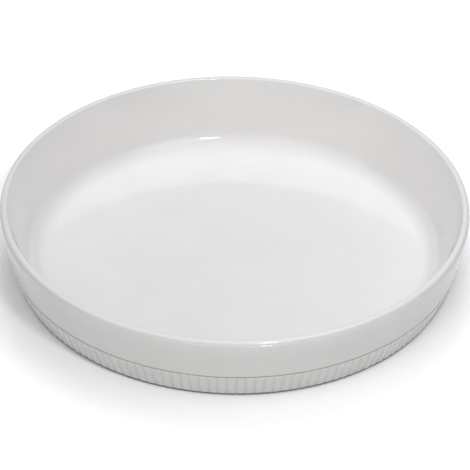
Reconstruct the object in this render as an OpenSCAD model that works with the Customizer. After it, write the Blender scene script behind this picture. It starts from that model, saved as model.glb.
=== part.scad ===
// Round shallow baking dish in white glazed ceramic, pressed as one piece.
// A plain leaning wall stands on a lower band of fine upright ribs.
// Origin: centre of the foot, on the table. +Z is up.

/* [Dish] */
// Outside diameter across the rim
rim_d = 280; // [200:1:340]
// Height from the table to the top of the rim
height = 45; // [38:0.5:65]
// Thickness of the floor
floor_t = 3.8; // [3:0.1:7]

/* [Wall] */
// Thickness of the wall at the lip
lip_w = 4; // [3:0.1:6]
// Rounding of the lip's outer edge
lip_outer_r = 2.2; // [0.5:0.1:2.4]
// Rounding of the lip's inner edge
lip_inner_r = 0.9; // [0.4:0.1:1.2]
// Height from the bend where the outer wall turns inward, its corner, to the top of the rim
shoulder_h = 5.8; // [4:0.1:9]
// Inward lean of the outer wall above that bend, in degrees
shoulder_lean = 6; // [0:0.5:12]
// Rounding of that bend
shoulder_r = 24; // [10:1:40]
// Outward lean of the plain outer wall below the bend, in degrees
wall_lean = 12.3; // [4:0.1:16]
// Outward lean of the inner wall, in degrees
inner_lean = 19.3; // [14:0.1:22]
// Rounding between the floor and the inner wall
corner_r = 12; // [5:0.5:18]

/* [Ribbed band] */
// Height of the plain wall's lower edge above the table
band_h = 17.9; // [14:0.1:24]
// Outward lean of the ribs, in degrees
band_lean = 21.4; // [12:0.1:26]
// Number of ribs round the band
rib_count = 156; // [90:1:190]
// Depth of the grooves between the ribs
rib_depth = 0.85; // [0.3:0.05:1]
// Width of the smooth strip left along each rib's crest at its foot
crest_w = 0.8; // [0.4:0.1:1.4]
// How far the ribs' upper ends stand out past the plain wall's lower edge
rib_proud = 0.2; // [0:0.1:0.6]
// Rounding of the ribs' upper ends
rib_end_r = 0.5; // [0.3:0.05:0.8]
// Height of the crease between the plain wall and the ribs
crease_h = 1.2; // [0.6:0.1:1.6]
// Depth of that crease, from the plain wall's lower edge
crease_depth = 1.6; // [0.5:0.1:2]

/* [Foot] */
// Height of the band's lower edge above the table
base_gap = 0.9; // [0.5:0.1:2]
// Rounding of the band's lower edge
base_edge_r = 2; // [1:0.1:3]
// How far the foot ring is set in from the band's lower edge
foot_inset = 3; // [2:0.5:6]
// Width of the flat ring that stands on the table
foot_w = 5; // [4:0.5:12]
// Height of the hollow under the floor
foot_recess = 1.2; // [0.6:0.1:2.5]
// Rounding of the foot ring's edges
foot_edge_r = 0.4; // [0.2:0.1:0.8]

/* [Hidden] */

// Most that a drawn arc may stray from its true curve
arc_error = 0.02;
// Flat strips that make up each rounded flank of a rib
flank_steps = 3;
// Overlap that carries a cut past the surface it opens
cut_past = 1;

rim_r = rim_d / 2;
floor_z = foot_recess + floor_t;

// The rim's widest circle lies on the rounded bend, so the corner of the bend lies past it
shoulder_reach = cos((shoulder_lean - wall_lean) / 2) / cos((shoulder_lean + wall_lean) / 2);
shoulder_corner = rim_r + shoulder_r * (shoulder_reach - 1);
shoulder_z = height - shoulder_h;
lip_outer_corner = shoulder_corner - shoulder_h * tan(shoulder_lean);
lip_inner_corner = rim_r - lip_w;
inner_corner = lip_inner_corner - (height - floor_z) * tan(inner_lean);

// Plain wall's lower edge, crease and the ribs' upper ends
wall_low_r = shoulder_corner - (shoulder_z - band_h) * tan(wall_lean);
crease_z = band_h - crease_h / 2;
crease_r = crease_h / 4;
rib_top_r = wall_low_r + rib_proud;
rib_top_z = band_h - crease_h;
base_corner = rib_top_r - (rib_top_z - base_gap) * tan(band_lean);

// Foot ring
foot_outer = base_corner - foot_inset;
foot_inner = foot_outer - foot_w;

// A rib is a round bar sunk in the band, cut off along its crest by the band's own surface
rib_pitch = 2 * base_corner * sin(180 / rib_count);
bar_sunk = (pow(rib_pitch, 2) - pow(crest_w, 2) + 4 * pow(rib_depth, 2)) / (8 * rib_depth);
bar_r = norm([bar_sunk, crest_w / 2]);
band_slope = (rib_top_z - base_gap) / cos(band_lean);

function unit(v) = v / norm(v);

// Half of the angle between the two sides that meet at corner p
function half_angle(a, p, b) = acos(unit(a - p) * unit(b - p)) / 2;

// Points of the arc that rounds corner p and takes up the length reach of both its sides
function corner_arc(a, p, b, reach) =
    let (u = unit(a - p), v = unit(b - p),
         half = half_angle(a, p, b),
         r = reach * tan(half),
         centre = p + unit(u + v) * r / sin(half),
         from = p + u * reach - centre,
         start = atan2(from[1], from[0]),
         turn = (180 - 2 * half) * sign(cross(-u, v)),
         steps = ceil(abs(turn) / (2 * acos(1 - arc_error / r))))
    [for (i = [0:steps]) centre + r * [cos(start + turn * i / steps), sin(start + turn * i / steps)]];

// Closed outline through corners [x, y, radius]; a radius of 0 leaves the corner sharp.
// Two roundings that would meet on a side share its length, so they never run into each other
function rounded(corners) =
    let (n = len(corners),
         xy = [for (c = corners) [c[0], c[1]]],
         before = [for (i = [0:n - 1]) (i + n - 1) % n],
         after = [for (i = [0:n - 1]) (i + 1) % n],
         wanted = [for (i = [0:n - 1]) corners[i][2] == 0 ? 0
             : corners[i][2] / tan(half_angle(xy[before[i]], xy[i], xy[after[i]]))])
    [for (i = [0:n - 1])
        for (q = wanted[i] == 0 ? [xy[i]]
            : let (room = [for (j = [before[i], after[i]]) norm(xy[j] - xy[i]) / (wanted[i] + wanted[j])])
              corner_arc(xy[before[i]], xy[i], xy[after[i]], wanted[i] * min(1, room[0], room[1]))) q];

// Half section of the dish: hollow, foot ring, band, crease, wall, shoulder, lip, inside
section_corners = [
    [0, foot_recess, 0],
    [foot_inner - foot_recess, foot_recess, foot_edge_r],
    [foot_inner, 0, foot_edge_r],
    [foot_outer, 0, foot_edge_r],
    [foot_outer + base_gap, base_gap, foot_edge_r],
    [base_corner, base_gap, base_edge_r],
    [rib_top_r, rib_top_z, rib_end_r],
    [wall_low_r - crease_depth, crease_z, crease_r],
    [wall_low_r, band_h, crease_r],
    [shoulder_corner, shoulder_z, shoulder_r],
    [lip_outer_corner, height, lip_outer_r],
    [lip_inner_corner, height, lip_inner_r],
    [inner_corner, floor_z, corner_r],
    [0, floor_z, 0]
];

// What lies between two neighbouring bars, seen along the groove, with x across it and y outward
module groove_section() {
    from = asin(crest_w / 2 / bar_r);
    to = asin(rib_pitch / 2 / bar_r);
    left = [for (i = [0:flank_steps]) let (a = from + (to - from) * i / flank_steps)
        [bar_r * sin(a) - rib_pitch / 2, bar_r * cos(a) - bar_sunk]];
    right = [for (i = [flank_steps - 1:-1:0]) [-left[i][0], left[i][1]]];
    mouth = (rib_pitch - crest_w) / 2;
    polygon(concat([[-mouth, cut_past]], left, right, [[mouth, cut_past]]));
}

// One groove, running up the band from below its lower edge into the crease
module groove() {
    translate([base_corner, 0, base_gap])
        rotate([0, band_lean, 0])
            translate([0, 0, -cut_past * 2])
                linear_extrude(height = band_slope + cut_past * 2)
                    rotate(-90) groove_section();
}

module dish() {
    color("ivory") difference() {
        rotate_extrude() polygon(rounded(section_corners));
        for (i = [0:rib_count - 1]) rotate((i + 0.5) * 360 / rib_count) groove();
    }
}

dish();
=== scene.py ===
"""A round baking dish in white glazed porcelain, with a band of upright ribs round its lower wall."""

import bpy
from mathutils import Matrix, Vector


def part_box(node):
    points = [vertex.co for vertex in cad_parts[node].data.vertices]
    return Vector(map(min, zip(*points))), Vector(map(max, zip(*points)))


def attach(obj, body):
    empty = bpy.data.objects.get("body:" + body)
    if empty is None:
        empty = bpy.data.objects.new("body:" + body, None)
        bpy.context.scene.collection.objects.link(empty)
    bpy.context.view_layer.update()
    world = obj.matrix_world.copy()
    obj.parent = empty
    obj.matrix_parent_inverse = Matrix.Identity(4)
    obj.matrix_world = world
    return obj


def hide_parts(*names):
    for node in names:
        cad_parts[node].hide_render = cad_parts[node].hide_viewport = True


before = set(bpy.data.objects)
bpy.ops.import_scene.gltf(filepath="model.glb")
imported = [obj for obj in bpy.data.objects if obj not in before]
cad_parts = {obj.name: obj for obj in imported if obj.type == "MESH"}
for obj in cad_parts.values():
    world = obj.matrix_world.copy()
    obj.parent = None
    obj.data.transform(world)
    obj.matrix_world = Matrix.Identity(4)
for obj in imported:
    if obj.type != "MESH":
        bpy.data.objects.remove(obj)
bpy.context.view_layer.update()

import math

import bpy
from mathutils import Matrix, Vector

# The dish's own sizes in metres, the same ones that its solid is built from
cad_low, cad_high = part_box("dish")
RIM_R = (cad_high.x - cad_low.x) / 2
HEIGHT = cad_high.z
FLOOR_T = 0.0038
LIP_W = 0.004
LIP_OUTER_R = 0.0022
LIP_INNER_R = 0.0009
SHOULDER_H = 0.0058
SHOULDER_LEAN = math.radians(6)
SHOULDER_R = 0.024
WALL_LEAN = math.radians(12.3)
INNER_LEAN = math.radians(19.3)
CORNER_R = 0.012
BAND_H = 0.0179
BAND_LEAN = math.radians(21.4)
RIB_COUNT = 156
RIB_DEPTH = 0.00085
CREST_W = 0.0008
RIB_PROUD = 0.0002
RIB_END_R = 0.0005
CREASE_H = 0.0012
CREASE_DEPTH = 0.0016
CREASE_R = CREASE_H / 4
BASE_EDGE_R = 0.002
BASE_GAP = 0.0009
FOOT_INSET = 0.003
FOOT_W = 0.005
FOOT_RECESS = 0.0012
FOOT_EDGE_R = 0.0004

# Places in the section that follow from those sizes
FLOOR_Z = FOOT_RECESS + FLOOR_T
SHOULDER_REACH = math.cos((SHOULDER_LEAN - WALL_LEAN) / 2) / math.cos((SHOULDER_LEAN + WALL_LEAN) / 2)
SHOULDER_CORNER = RIM_R + SHOULDER_R * (SHOULDER_REACH - 1)
SHOULDER_Z = HEIGHT - SHOULDER_H
LIP_OUTER_CORNER = SHOULDER_CORNER - SHOULDER_H * math.tan(SHOULDER_LEAN)
LIP_INNER_CORNER = RIM_R - LIP_W
INNER_CORNER = LIP_INNER_CORNER - (HEIGHT - FLOOR_Z) * math.tan(INNER_LEAN)
WALL_LOW_R = SHOULDER_CORNER - (SHOULDER_Z - BAND_H) * math.tan(WALL_LEAN)
CREASE_Z = BAND_H - CREASE_H / 2
RIB_TOP_R = WALL_LOW_R + RIB_PROUD
RIB_TOP_Z = BAND_H - CREASE_H
BASE_CORNER = RIB_TOP_R - (RIB_TOP_Z - BASE_GAP) * math.tan(BAND_LEAN)
FOOT_OUTER = BASE_CORNER - FOOT_INSET
FOOT_INNER = FOOT_OUTER - FOOT_W
RIB_PITCH = 2 * BASE_CORNER * math.sin(math.pi / RIB_COUNT)
BAR_SUNK = (RIB_PITCH ** 2 - CREST_W ** 2 + 4 * RIB_DEPTH ** 2) / (8 * RIB_DEPTH)
BAR_R = math.hypot(BAR_SUNK, CREST_W / 2)

# How finely the mesh follows an arc: the most that it turns, and the most that it strays, in one step
ARC_TURN = math.radians(9)
ARC_ERROR = 0.00001
# On a straight stretch: how far from its ends the outer rows lie, and the widest gap between rows
GUARD = 0.0004
ROW_GAP = 0.009
# Points on a plain ring for each rib
COARSE_PER_RIB = 3
# How far glaze rounds the bottom of a groove, and how gently a groove sets in where the plain surface ends
GROOVE_SOFT = 0.0004
EDGE_BLEND = 0.00012
# Half of one rib's cross-section: where its points lie between the groove, 0, and the crest, 1
RIB_STEPS = (0.0, 0.08, 0.2, 0.37, 0.58, 0.8)
# Rings on the flat discs: share of the disc's radius, and every how many points of a plain ring it has one
DISC_RINGS = ((0.12, 36), (0.36, 9), (0.7, 3))

# Glaze: its two cloudy tones; its tone in a groove, partly glaze that pools there and partly painted shade;
# and its painted shade down in the crease
GLAZE_DARK = (0.835, 0.826, 0.81)
GLAZE_LIGHT = (0.855, 0.847, 0.832)
GLAZE_POOLED_AND_SHADE = (0.78, 0.772, 0.755)
GLAZE_CREASE_SHADE = (0.64, 0.63, 0.61)
GLAZE_ROUGHNESS = (0.02, 0.05)
GLAZE_IOR = 1.5
# Its clouds: noise scale and detail, and the noise values between which tone and roughness change
GLAZE_CLOUDS = (28.0, 3.0)
CLOUD_TONE_SPAN = (0.3, 0.7)
CLOUD_ROUGHNESS_SPAN = (0.25, 0.75)
# Shares of the full depth between which a groove takes its pooled glaze and painted shade, and between which
# the crease darkens with painted shade
POOLED_AND_SHADE_SPAN = (0.25, 0.68)
CREASE_SHADE_SPAN = (0.0, 0.6)
# Its waves and its fine grain: noise scale, noise detail and height in metres
GLAZE_WAVES = (45.0, 1.0, 0.00003)
GLAZE_GRAIN = (520.0, 2.0, 0.000002)

# Table: half its side, how far its top lies under the dish's foot, its tone for the light that it sends
# back, and its tone for the camera and the dish's gloss, where it has to look white
TABLE_HALF = 30.0
TABLE_BELOW = 0.0001
TABLE_TONE = 0.8
TABLE_SEEN_TONE = 1.2
TABLE_ROUGHNESS = 0.9
# Painted contact shadow, a dark line on the table at the dish's foot: its reach, its darkest tone, and the
# open shares between which it fades
CONTACT_SHADOW_REACH = 0.002
CONTACT_SHADOW_TONE = 0.3
CONTACT_SHADOW_SPAN = (0.1, 0.7)

# Camera, in a picture 470 pixels wide and high
IMAGE_W = 470
SENSOR_W = 36.0
CLIP_NEAR = 0.01
CLIP_FAR = 100.0
FOCAL_PX = 3051.5
CAMERA_ELEVATION = math.radians(35.43)
CAMERA_ROLL = math.radians(1.03)
CAMERA_AWAY = 13.0 * RIM_R
CAMERA_RIGHT = 0.0002 * RIM_R
CAMERA_DOWN = 0.1448 * RIM_R

# Lamps: name, place, width, depth, power, colour, and whether the dish's gloss shows it
WHITE = (1.0, 1.0, 1.0)
COOL_WHITE = (1.0, 0.985, 1.08)
LAMPS = (
    ("right_softbox", (0.2, -0.15, 0.4), 0.25, 0.25, 0.25, WHITE, True),
    ("back_softbox", (0.0, 0.32, 0.65), 0.45, 0.45, 1.72, COOL_WHITE, False),
    ("front_lamp", (0.21, -0.63, 0.88), 0.14, 0.1, 1.9, WHITE, True),
)

# Pools of light in the studio round the dish: aim, sharpness and level of each
POOLS = (
    ((0.0, 0.0, 1.0), 5.0, 1.01),
    ((0.0, -0.8, 0.6), 5.0, 0.27),
    ((0.0, -0.98, 0.2), 6.0, 0.38),
    ((-0.5, -0.6, 0.62), 8.0, 0.72),
)


def unit(vector):
    return vector / vector.length


def half_angle(before, corner, after):
    """Half of the angle between the two sides that meet at a corner of the section."""
    return unit(before - corner).angle(unit(after - corner)) / 2


def corner_arc(before, corner, after, reach):
    """Points of the arc that rounds a corner of the section and takes up a length of each of its sides."""
    back = unit(before - corner)
    ahead = unit(after - corner)
    half = half_angle(before, corner, after)
    radius = reach * math.tan(half)
    centre = corner + unit(back + ahead) * radius / math.sin(half)
    first = corner + back * reach - centre
    side = -back.x * ahead.y + back.y * ahead.x
    turn = math.copysign(math.pi - 2 * half, side)
    step = min(ARC_TURN, 2 * math.acos(1 - ARC_ERROR / radius))
    steps = math.ceil(abs(turn) / step)
    start = math.atan2(first.y, first.x)
    angles = [start + turn * i / steps for i in range(steps + 1)]
    return [centre + radius * Vector((math.cos(a), math.sin(a))) for a in angles]


def stretch(start, end):
    """Rows on a straight stretch: one close to each end, which keeps the shading true, and some between."""
    along = end - start
    length = along.length
    if length < 4 * GUARD:
        return []
    inner = length - 2 * GUARD
    count = math.ceil(inner / ROW_GAP)
    places = [GUARD + inner * i / count for i in range(count + 1)]
    return [start + along * place / length for place in places]


def section():
    """The outline of the dish's half section, in arcs and straight stretches, from underside to inside."""
    corners = [
        (0.0, FOOT_RECESS, 0.0),
        (FOOT_INNER - FOOT_RECESS, FOOT_RECESS, FOOT_EDGE_R),
        (FOOT_INNER, 0.0, FOOT_EDGE_R),
        (FOOT_OUTER, 0.0, FOOT_EDGE_R),
        (FOOT_OUTER + BASE_GAP, BASE_GAP, FOOT_EDGE_R),
        (BASE_CORNER, BASE_GAP, BASE_EDGE_R),
        (RIB_TOP_R, RIB_TOP_Z, RIB_END_R),
        (WALL_LOW_R - CREASE_DEPTH, CREASE_Z, CREASE_R),
        (WALL_LOW_R, BAND_H, CREASE_R),
        (SHOULDER_CORNER, SHOULDER_Z, SHOULDER_R),
        (LIP_OUTER_CORNER, HEIGHT, LIP_OUTER_R),
        (LIP_INNER_CORNER, HEIGHT, LIP_INNER_R),
        (INNER_CORNER, FLOOR_Z, CORNER_R),
        (0.0, FLOOR_Z, 0.0),
    ]
    points = [Vector(corner[:2]) for corner in corners]
    inner = range(1, len(corners) - 1)
    wanted = [corners[i][2] / math.tan(half_angle(*points[i - 1:i + 2])) for i in inner]
    wanted = [0.0, *wanted, 0.0]
    outline = []
    for i in inner:
        room = [(points[j] - points[i]).length / (wanted[j] + wanted[i]) for j in (i - 1, i + 1)]
        arc = corner_arc(*points[i - 1:i + 2], wanted[i] * min(1.0, *room))
        if outline:
            outline += stretch(outline[-1], arc[0])
        outline += arc
    return outline


def inside_band(point):
    """How far a point of the section lies inside the plain cone that the ribs' crests follow."""
    on_cone = BASE_CORNER + (point.y - BASE_GAP) * math.tan(BAND_LEAN)
    return (on_cone - point.x) * math.cos(BAND_LEAN)


def in_crease(point):
    """How far down in the crease a point of the section lies, from 0 at its mouth to 1 at its bottom."""
    inside_mouth = abs(point.y - CREASE_Z) <= CREASE_H / 2
    near_wall = point.x >= WALL_LOW_R - 2 * CREASE_DEPTH
    if not (inside_mouth and near_wall):
        return 0.0
    return max(0.0, min(1.0, (WALL_LOW_R - point.x) / CREASE_DEPTH))


def groove_depth(place):
    """Depth of a groove at a distance from its middle, softened at the bottom, where glaze fills it."""
    across = RIB_PITCH / 2 - math.hypot(place, GROOVE_SOFT)
    if across < CREST_W / 2:
        return 0.0
    return BAR_SUNK - math.sqrt(BAR_R ** 2 - across ** 2)


def soft_excess(value):
    """Positive part of a value, with a short smooth start in place of the corner."""
    if abs(value) >= EDGE_BLEND:
        return max(value, 0.0)
    return (value + EDGE_BLEND) ** 2 / (4 * EDGE_BLEND)


def fine_angles():
    """Angles round the ribbed rows, closer together near each groove."""
    shares = list(RIB_STEPS) + [1.0] + [2 - s for s in reversed(RIB_STEPS[1:])]
    pitch = math.tau / RIB_COUNT
    return [(rib + 0.5 + share / 2) * pitch for rib in range(RIB_COUNT) for share in shares]


class Lathe:
    """Collects rings of points round the axis and the faces between them."""

    def __init__(self):
        self.points = []
        self.faces = []
        self.depths = []
        self.creases = []
        self.last = None

    def ring(self, places, depths, crease=0.0):
        first = len(self.points)
        self.points += places
        self.depths += depths
        self.creases += [crease] * len(places)
        here = (first, len(places))
        if self.last:
            self.join(self.last, here)
        self.last = here

    def join(self, low, high):
        """Faces between two rings, one of which may have a whole number of times the other's points."""
        (a, count_a), (b, count_b) = low, high
        if count_a == 1 or count_b == 1:
            for i in range(max(count_a, count_b)):
                j = (i + 1) % max(count_a, count_b)
                self.faces.append((a, b + j, b + i) if count_a == 1 else (a + i, a + j, b))
            return
        if count_a == count_b:
            for i in range(count_a):
                j = (i + 1) % count_a
                self.faces.append((a + i, a + j, b + j, b + i))
            return
        fine_is_low = count_a > count_b
        fine, coarse = (low, high) if fine_is_low else (high, low)
        times = fine[1] // coarse[1]
        middle = times // 2
        for i in range(coarse[1]):
            here = coarse[0] + i
            ahead = coarse[0] + (i + 1) % coarse[1]
            edge = [fine[0] + (i * times + k) % fine[1] for k in range(times + 1)]
            fans = [(edge[k], edge[k + 1], here if k < middle else ahead) for k in range(times)]
            fans.append((here, edge[middle], ahead))
            self.faces += fans if fine_is_low else [face[::-1] for face in fans]


def turned(point, angle):
    return (point.x * math.cos(angle), point.x * math.sin(angle), point.y)


def dish_mesh():
    """The dish as one closed mesh: plain rings, with the ribs pressed into the rows of the band."""
    outline = section()
    fine = fine_angles()
    coarse_count = RIB_COUNT * COARSE_PER_RIB
    pitch = math.tau / RIB_COUNT
    coarse = [(i / COARSE_PER_RIB + 0.5) * pitch for i in range(coarse_count)]
    inward = Vector((-math.cos(BAND_LEAN), math.sin(BAND_LEAN)))
    lathe = Lathe()
    lathe.ring([(0.0, 0.0, FOOT_RECESS)], [0.0])
    for share, every in DISC_RINGS:
        flat = Vector((outline[0].x * share, FOOT_RECESS))
        lathe.ring([turned(flat, a) for a in coarse[::every]], [0.0] * (coarse_count // every))
    for point in outline:
        crease = in_crease(point)
        ribbed = point.y < CREASE_Z + CREASE_R and inside_band(point) < RIB_DEPTH + EDGE_BLEND
        if not ribbed:
            lathe.ring([turned(point, a) for a in coarse], [0.0] * coarse_count, crease)
            continue
        places = []
        depths = []
        for angle in fine:
            from_groove = (angle / pitch) % 1 - 0.5
            groove = groove_depth(abs(from_groove) * pitch * point.x)
            depth = soft_excess(groove - inside_band(point))
            places.append(turned(point + inward * depth, angle))
            depths.append(groove / RIB_DEPTH)
        lathe.ring(places, depths, crease)
    for share, every in reversed(DISC_RINGS):
        flat = Vector((outline[-1].x * share, FLOOR_Z))
        lathe.ring([turned(flat, a) for a in coarse[::every]], [0.0] * (coarse_count // every))
    lathe.ring([(0.0, 0.0, FLOOR_Z)], [0.0])
    mesh = bpy.data.meshes.new("porcelain_dish")
    mesh.from_pydata(lathe.points, [], lathe.faces)
    mesh.shade_smooth()
    # The groove and crease shares, from which the glaze takes its pooled glaze and painted shade
    for name, values in (("groove", lathe.depths), ("crease", lathe.creases)):
        mesh.attributes.new(name, "FLOAT", "POINT").data.foreach_set("value", values)
    mesh.validate()
    return mesh


def math_node(nodes, links, operation, *values):
    """A Math node whose inputs are sockets or plain numbers."""
    node = nodes.new("ShaderNodeMath")
    node.operation = operation
    for socket, value in zip(node.inputs, values):
        if isinstance(value, (int, float)):
            socket.default_value = value
        else:
            links.new(value, socket)
    return node.outputs[0]


def noise(nodes, links, place, scale, detail):
    texture = nodes.new("ShaderNodeTexNoise")
    texture.inputs["Scale"].default_value = scale
    texture.inputs["Detail"].default_value = detail
    links.new(place, texture.inputs["Vector"])
    return texture.outputs["Fac"]


def remap(nodes, links, value, low, high, new_low, new_high):
    node = nodes.new("ShaderNodeMapRange")
    node.interpolation_type = "SMOOTHSTEP"
    for name, number in (("From Min", low), ("From Max", high), ("To Min", new_low), ("To Max", new_high)):
        node.inputs[name].default_value = number
    links.new(value, node.inputs["Value"])
    return node.outputs["Result"]


def tint(nodes, links, amount, colour, other):
    mix = nodes.new("ShaderNodeMix")
    mix.data_type = "RGBA"
    links.new(amount, mix.inputs["Factor"])
    for socket, value in ((mix.inputs[6], colour), (mix.inputs[7], other)):
        if isinstance(value, tuple):
            socket.default_value = (*value, 1.0)
        else:
            links.new(value, socket)
    return mix.outputs[2]


def bump(nodes, links, height, depth, under=None):
    node = nodes.new("ShaderNodeBump")
    node.inputs["Distance"].default_value = depth
    links.new(height, node.inputs["Height"])
    if under:
        links.new(under, node.inputs["Normal"])
    return node.outputs["Normal"]


def glaze_material():
    """Clear gloss glaze over a white body: faint clouds in the tone, darker in the grooves from pooled glaze
    and painted shade, painted shade down in the crease, and a surface that isn't quite flat.
    """
    material = bpy.data.materials.new("white_glaze")
    material.use_nodes = True
    nodes, links = material.node_tree.nodes, material.node_tree.links
    shader = nodes["Principled BSDF"]
    place = nodes.new("ShaderNodeTexCoord").outputs["Object"]
    cloud = noise(nodes, links, place, *GLAZE_CLOUDS)
    tone = remap(nodes, links, cloud, *CLOUD_TONE_SPAN, 0.0, 1.0)
    colour = tint(nodes, links, tone, GLAZE_DARK, GLAZE_LIGHT)
    # Darker in each groove: partly glaze that pools there, partly painted shade
    groove = nodes.new("ShaderNodeAttribute")
    groove.attribute_name = "groove"
    pooled_and_shade = remap(nodes, links, groove.outputs["Fac"], *POOLED_AND_SHADE_SPAN, 0.0, 1.0)
    colour = tint(nodes, links, pooled_and_shade, colour, GLAZE_POOLED_AND_SHADE)
    # Painted shade down in the crease: the glaze's colour darkens towards the crease's bottom
    crease = nodes.new("ShaderNodeAttribute")
    crease.attribute_name = "crease"
    shaded = remap(nodes, links, crease.outputs["Fac"], *CREASE_SHADE_SPAN, 0.0, 1.0)
    colour = tint(nodes, links, shaded, colour, GLAZE_CREASE_SHADE)
    links.new(colour, shader.inputs["Base Color"])
    roughness = remap(nodes, links, cloud, *CLOUD_ROUGHNESS_SPAN, *GLAZE_ROUGHNESS)
    links.new(roughness, shader.inputs["Roughness"])
    shader.inputs["IOR"].default_value = GLAZE_IOR
    normal = None
    for scale, detail, height in (GLAZE_WAVES, GLAZE_GRAIN):
        normal = bump(nodes, links, noise(nodes, links, place, scale, detail), height, normal)
    links.new(normal, shader.inputs["Normal"])
    return material


def build_dish():
    dish = bpy.data.objects.new("porcelain_dish", dish_mesh())
    bpy.context.collection.objects.link(dish)
    dish.data.materials.append(glaze_material())
    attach(dish, "root")
    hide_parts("dish")


def build_floor():
    """A white table top. Its own colour makes it white in the picture, and the dish's shadow stays on it.
    Near the dish's foot a painted contact shadow darkens its colour.
    """
    mesh = bpy.data.meshes.new("table_top")
    sides = ((-1, -1), (1, -1), (1, 1), (-1, 1))
    corners = [(x * TABLE_HALF, y * TABLE_HALF, -TABLE_BELOW) for x, y in sides]
    mesh.from_pydata(corners, [], [(0, 1, 2, 3)])
    floor = bpy.data.objects.new("table_top", mesh)
    bpy.context.collection.objects.link(floor)
    material = bpy.data.materials.new("white_table")
    material.use_nodes = True
    nodes, links = material.node_tree.nodes, material.node_tree.links
    shader = nodes["Principled BSDF"]
    shader.inputs["Roughness"].default_value = TABLE_ROUGHNESS
    shader.inputs["Specular IOR Level"].default_value = 0.0
    rays = nodes.new("ShaderNodeLightPath")
    seen = math_node(nodes, links, "ADD", rays.outputs["Is Glossy Ray"], rays.outputs["Is Transmission Ray"])
    seen = math_node(nodes, links, "MAXIMUM", rays.outputs["Is Camera Ray"], seen)
    tone = math_node(nodes, links, "MULTIPLY_ADD", seen, TABLE_SEEN_TONE - TABLE_TONE, TABLE_TONE)
    # Painted contact shadow: the table's colour darkens where the dish's foot is close
    near = nodes.new("ShaderNodeAmbientOcclusion")
    near.inputs["Distance"].default_value = CONTACT_SHADOW_REACH
    contact_shadow = remap(nodes, links, near.outputs["AO"], *CONTACT_SHADOW_SPAN, CONTACT_SHADOW_TONE, 1.0)
    links.new(math_node(nodes, links, "MULTIPLY", tone, contact_shadow), shader.inputs["Base Color"])
    mesh.materials.append(material)


def build_world():
    """Studio surroundings: dark, with broad soft pools of light overhead and in front."""
    world = bpy.data.worlds.new("studio")
    bpy.context.scene.world = world
    world.use_nodes = True
    nodes, links = world.node_tree.nodes, world.node_tree.links
    direction = nodes.new("ShaderNodeTexCoord").outputs["Generated"]
    level = 0.0
    for aim, sharpness, strength in POOLS:
        dot = nodes.new("ShaderNodeVectorMath")
        dot.operation = "DOT_PRODUCT"
        dot.inputs[1].default_value = unit(Vector(aim))
        links.new(direction, dot.inputs[0])
        facing = math_node(nodes, links, "MAXIMUM", dot.outputs["Value"], 0.0)
        pool = math_node(nodes, links, "POWER", facing, sharpness)
        level = math_node(nodes, links, "MULTIPLY_ADD", pool, strength, level)
    links.new(level, nodes["Background"].inputs["Strength"])
    nodes["Background"].inputs["Color"].default_value = (1.0, 1.0, 1.0, 1.0)


def softbox(name, place, width, depth, power, colour, in_gloss):
    """A lamp aimed at the dish's foot. The camera never sees it."""
    lamp = bpy.data.lights.new(name, "AREA")
    lamp.shape = "RECTANGLE"
    lamp.size = width
    lamp.size_y = depth
    lamp.energy = power
    lamp.color = colour
    box = bpy.data.objects.new(name, lamp)
    box.location = place
    box.rotation_mode = "QUATERNION"
    box.rotation_quaternion = (-Vector(place)).to_track_quat("-Z", "Y")
    box.visible_camera = False
    box.visible_glossy = in_gloss
    bpy.context.collection.objects.link(box)


def build_lamps():
    for lamp in LAMPS:
        softbox(*lamp)


def build_camera():
    """A long lens that looks down near the rim's centre and is turned a little about its axis."""
    data = bpy.data.cameras.new("camera")
    data.sensor_width = SENSOR_W
    data.lens = FOCAL_PX * SENSOR_W / IMAGE_W
    data.clip_start = CLIP_NEAR
    data.clip_end = CLIP_FAR
    ahead = Vector((0.0, math.cos(CAMERA_ELEVATION), -math.sin(CAMERA_ELEVATION)))
    level = Vector((1.0, 0.0, 0.0))
    above = Vector((0.0, math.sin(CAMERA_ELEVATION), math.cos(CAMERA_ELEVATION)))
    right = math.cos(CAMERA_ROLL) * level + math.sin(CAMERA_ROLL) * above
    up = -math.sin(CAMERA_ROLL) * level + math.cos(CAMERA_ROLL) * above
    rim_centre = Vector((0.0, 0.0, HEIGHT))
    place = rim_centre + CAMERA_RIGHT * right - CAMERA_DOWN * up - CAMERA_AWAY * ahead
    turn = Matrix((right, up, -ahead)).transposed()
    camera = bpy.data.objects.new("camera", data)
    camera.matrix_world = Matrix.Translation(place) @ turn.to_4x4()
    bpy.context.collection.objects.link(camera)
    bpy.context.scene.camera = camera


build_camera()
build_dish()
build_floor()
build_world()
build_lamps()
bpy.context.scene.view_settings.view_transform = "Standard"
